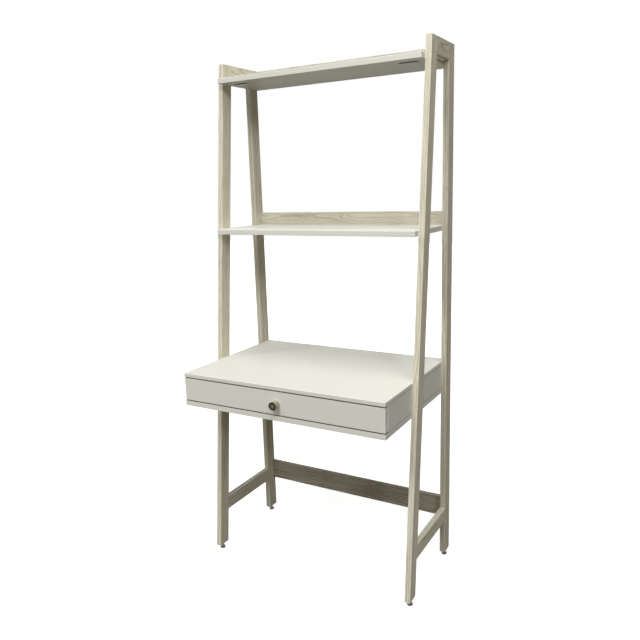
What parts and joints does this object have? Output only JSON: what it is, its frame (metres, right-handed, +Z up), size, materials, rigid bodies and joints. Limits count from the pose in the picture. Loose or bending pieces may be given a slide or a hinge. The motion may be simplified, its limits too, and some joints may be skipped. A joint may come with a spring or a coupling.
{
  "type": "wall desk",
  "caption": "Ladder-style wall desk: A-shaped wooden end frames and back rails carry lacquered shelves and a desk box with a wide drawer on ball-bearing slides.",
  "frame": {"origin": "on the floor, in the middle of the overall box", "axes": "+X to the right seen from the front, +Y towards the wall, +Z up"},
  "size_m": [0.808, 0.564, 1.829],
  "materials": {
    "whitewashed_oak": "whitewashed open grain, matt",
    "white_lacquer": "satin off-white lacquer on board",
    "birch_plywood": "clear matt varnish",
    "beech_dowel": "fluted, raw",
    "pewter": "aged pewter, brushed",
    "grey_nylon": "moulded",
    "dark_steel": "blackened zinc",
    "zinc_slide_steel": "bright zinc plate",
    "insert_brass": "raw",
    "cam_zinc": "die-cast zinc",
    "zinc_fastener": "zinc plate"
  },
  "bodies": {
    "frame": {"bolt_washers": "zinc_fastener", "desk_back": "white_lacquer", "desk_bolts": "zinc_fastener", "desk_bottom": "white_lacquer", "desk_screws": "zinc_fastener", "desk_slide_screws": "zinc_fastener", "desk_top": "white_lacquer", "foot_inserts": "insert_brass", "left_desk_side": "white_lacquer", "left_end_panel": "whitewashed_oak", "left_front_leg": "whitewashed_oak", "left_rear_leg": "whitewashed_oak", "left_side_stretcher": "whitewashed_oak", "left_slide_outer": "zinc_slide_steel", "leg_inserts": "insert_brass", "low_rail": "whitewashed_oak", "middle_rail": "whitewashed_oak", "middle_shelf": "white_lacquer", "rail_cam_bolts": "cam_zinc", "rail_cams": "cam_zinc", "right_desk_side": "white_lacquer", "right_end_panel": "whitewashed_oak", "right_front_leg": "whitewashed_oak", "right_rear_leg": "whitewashed_oak", "right_side_stretcher": "whitewashed_oak", "right_slide_outer": "zinc_slide_steel", "shelf_bolts": "zinc_fastener", "shelf_screws": "zinc_fastener", "top_rail": "whitewashed_oak", "top_shelf": "white_lacquer", "wood_dowels": "beech_dowel"},
    "drawer": {"drawer_back": "birch_plywood", "drawer_bottom": "birch_plywood", "drawer_dowels": "beech_dowel", "drawer_front": "white_lacquer", "drawer_front_screws": "zinc_fastener", "drawer_slide_screws": "zinc_fastener", "drawer_sub_front": "birch_plywood", "knob": "pewter", "knob_screw": "zinc_fastener", "left_drawer_side": "birch_plywood", "left_slide_inner": "zinc_slide_steel", "right_drawer_side": "birch_plywood", "right_slide_inner": "zinc_slide_steel"},
    "left_slide_middle": {"left_slide_middle": "zinc_slide_steel"},
    "left_outer_ball_cage": {"left_outer_ball_cage": "zinc_slide_steel"},
    "left_inner_ball_cage": {"left_inner_ball_cage": "zinc_slide_steel"},
    "right_slide_middle": {"right_slide_middle": "zinc_slide_steel"},
    "right_outer_ball_cage": {"right_outer_ball_cage": "zinc_slide_steel"},
    "right_inner_ball_cage": {"right_inner_ball_cage": "zinc_slide_steel"},
    "left_front_foot_pad": {"left_front_foot_pad": "grey_nylon"},
    "left_front_foot_stem": {"left_front_foot_stem": "dark_steel"},
    "left_rear_foot_pad": {"left_rear_foot_pad": "grey_nylon"},
    "left_rear_foot_stem": {"left_rear_foot_stem": "dark_steel"},
    "right_front_foot_pad": {"right_front_foot_pad": "grey_nylon"},
    "right_front_foot_stem": {"right_front_foot_stem": "dark_steel"},
    "right_rear_foot_pad": {"right_rear_foot_pad": "grey_nylon"},
    "right_rear_foot_stem": {"right_rear_foot_stem": "dark_steel"}
  },
  "joints": [
    {"name": "drawer_slide", "type": "slide", "parent": "frame", "child": "drawer", "axis": [0, -1, 0], "range_m": [0, 0.4]},
    {"name": "left_slide_middle_travel", "type": "slide", "parent": "frame", "child": "left_slide_middle", "axis": [0, -1, 0], "range_m": [0, 0.2]},
    {"name": "left_outer_ball_cage_travel", "type": "slide", "parent": "frame", "child": "left_outer_ball_cage", "axis": [0, -1, 0], "range_m": [0, 0.1]},
    {"name": "left_inner_ball_cage_travel", "type": "slide", "parent": "frame", "child": "left_inner_ball_cage", "axis": [0, -1, 0], "range_m": [0, 0.3]},
    {"name": "right_slide_middle_travel", "type": "slide", "parent": "frame", "child": "right_slide_middle", "axis": [0, -1, 0], "range_m": [0, 0.2]},
    {"name": "right_outer_ball_cage_travel", "type": "slide", "parent": "frame", "child": "right_outer_ball_cage", "axis": [0, -1, 0], "range_m": [0, 0.1]},
    {"name": "right_inner_ball_cage_travel", "type": "slide", "parent": "frame", "child": "right_inner_ball_cage", "axis": [0, -1, 0], "range_m": [0, 0.3]},
    {"name": "left_front_foot_lift", "type": "slide", "parent": "frame", "child": "left_front_foot_pad", "axis": [0, 0, 1], "range_m": [-0.008, 0.007]},
    {"name": "left_front_foot_turn", "type": "hinge", "parent": "left_front_foot_pad", "child": "left_front_foot_stem", "pos_m": [-0.394, -0.0929, 0], "axis": [0, 0, 1], "range_deg": [-2299.39, 2011.97]},
    {"name": "left_rear_foot_lift", "type": "slide", "parent": "frame", "child": "left_rear_foot_pad", "axis": [0, 0, 1], "range_m": [-0.008, 0.007]},
    {"name": "left_rear_foot_turn", "type": "hinge", "parent": "left_rear_foot_pad", "child": "left_rear_foot_stem", "pos_m": [-0.394, 0.257, 0], "axis": [0, 0, 1], "range_deg": [-2299.39, 2011.97]},
    {"name": "right_front_foot_lift", "type": "slide", "parent": "frame", "child": "right_front_foot_pad", "axis": [0, 0, 1], "range_m": [-0.008, 0.007]},
    {"name": "right_front_foot_turn", "type": "hinge", "parent": "right_front_foot_pad", "child": "right_front_foot_stem", "pos_m": [0.394, -0.0929, 0], "axis": [0, 0, 1], "range_deg": [-2299.39, 2011.97]},
    {"name": "right_rear_foot_lift", "type": "slide", "parent": "frame", "child": "right_rear_foot_pad", "axis": [0, 0, 1], "range_m": [-0.008, 0.007]},
    {"name": "right_rear_foot_turn", "type": "hinge", "parent": "right_rear_foot_pad", "child": "right_rear_foot_stem", "pos_m": [0.394, 0.257, 0], "axis": [0, 0, 1], "range_deg": [-2299.39, 2011.97]}
  ],
  "couplings": [
    {"joint": "left_slide_middle_travel", "follows": "drawer_slide", "ratio": 0.5},
    {"joint": "left_outer_ball_cage_travel", "follows": "drawer_slide", "ratio": 0.25},
    {"joint": "left_inner_ball_cage_travel", "follows": "drawer_slide", "ratio": 0.75},
    {"joint": "right_slide_middle_travel", "follows": "drawer_slide", "ratio": 0.5},
    {"joint": "right_outer_ball_cage_travel", "follows": "drawer_slide", "ratio": 0.25},
    {"joint": "right_inner_ball_cage_travel", "follows": "drawer_slide", "ratio": 0.75},
    {"joint": "left_front_foot_lift", "follows": "left_front_foot_turn", "m_per_rad": 0.00019894},
    {"joint": "left_rear_foot_lift", "follows": "left_rear_foot_turn", "m_per_rad": 0.00019894},
    {"joint": "right_front_foot_lift", "follows": "right_front_foot_turn", "m_per_rad": 0.00019894},
    {"joint": "right_rear_foot_lift", "follows": "right_rear_foot_turn", "m_per_rad": 0.00019894}
  ]
}
